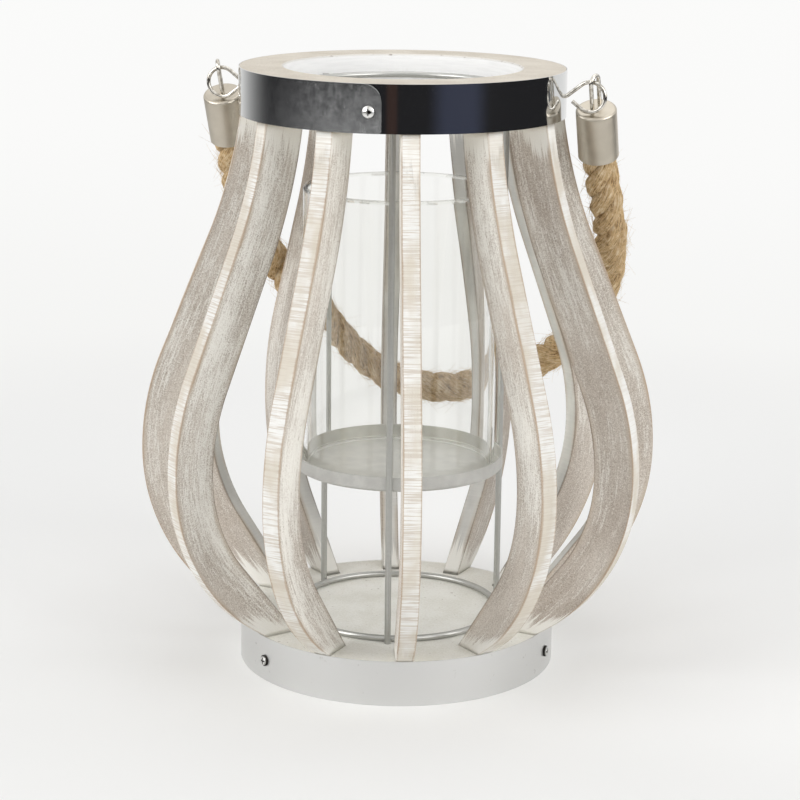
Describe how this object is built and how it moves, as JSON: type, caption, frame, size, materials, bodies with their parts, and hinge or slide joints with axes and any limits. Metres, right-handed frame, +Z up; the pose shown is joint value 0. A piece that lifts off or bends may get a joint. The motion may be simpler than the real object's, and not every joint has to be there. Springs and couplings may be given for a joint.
{
  "type": "hurricane candle lantern",
  "caption": "Pear-shaped lantern of bent whitewashed slats between steel-banded discs, with a lift-out wire candle stand, a glass cylinder and a swinging rope handle.",
  "frame": {"origin": "centre of the underside of the base disc", "axes": "+Z up through the mouth; +X through the right screw eye and -X through the left one; the rope handle hangs on the +Y side at rest"},
  "size_m": [0.2616, 0.2821, 0.31],
  "materials": {
    "washed_board": "whitewashed board, dry-brushed",
    "polished_steel": "mirror polished",
    "satin_steel": "satin",
    "screw_steel": "bright zinc",
    "bright_wire": "bright nickel",
    "satin_nickel": "satin nickel",
    "silver_paint": "satin silver paint",
    "clear_glass": "clear",
    "jute_rope": "natural twisted fibre",
    "dowel_wood": "plain"
  },
  "bodies": {
    "cage": {"base_disc": "washed_board", "base_band": "satin_steel", "base_band_screws": "screw_steel", "top_ring": "washed_board", "top_band": "polished_steel", "top_band_screw": "screw_steel", "slat_01": "washed_board", "slat_02": "washed_board", "slat_03": "washed_board", "slat_04": "washed_board", "slat_05": "washed_board", "slat_06": "washed_board", "slat_07": "washed_board", "slat_08": "washed_board", "slat_09": "washed_board", "slat_10": "washed_board", "slat_11": "washed_board", "slat_12": "washed_board", "slat_foot_screws": "screw_steel", "slat_top_dowels": "dowel_wood", "screw_eye_right": "bright_wire", "screw_eye_left": "bright_wire"},
    "stand": {"stand_foot_ring": "silver_paint", "stand_top_ring": "silver_paint", "stand_upright_1": "silver_paint", "stand_upright_2": "silver_paint", "stand_upright_3": "silver_paint", "candle_tray": "silver_paint"},
    "glass": {"glass_cylinder": "clear_glass"},
    "handle": {"cap_staple_right": "bright_wire", "cap_staple_left": "bright_wire", "rope_cap_right": "satin_nickel", "rope_cap_left": "satin_nickel", "handle_rope": "jute_rope"}
  },
  "joints": [
    {"name": "handle_swing", "type": "hinge", "parent": "cage", "child": "handle", "pos_m": [0, 0, 0.30538], "axis": [1, 0, 0], "range_deg": [0, 285]},
    {"name": "stand_lift", "type": "slide", "parent": "cage", "child": "stand", "axis": [0, 0, 1], "range_m": [0, 0.3]},
    {"name": "glass_lift", "type": "slide", "parent": "stand", "child": "glass", "axis": [0, 0, 1], "range_m": [0, 0.22]}
  ]
}
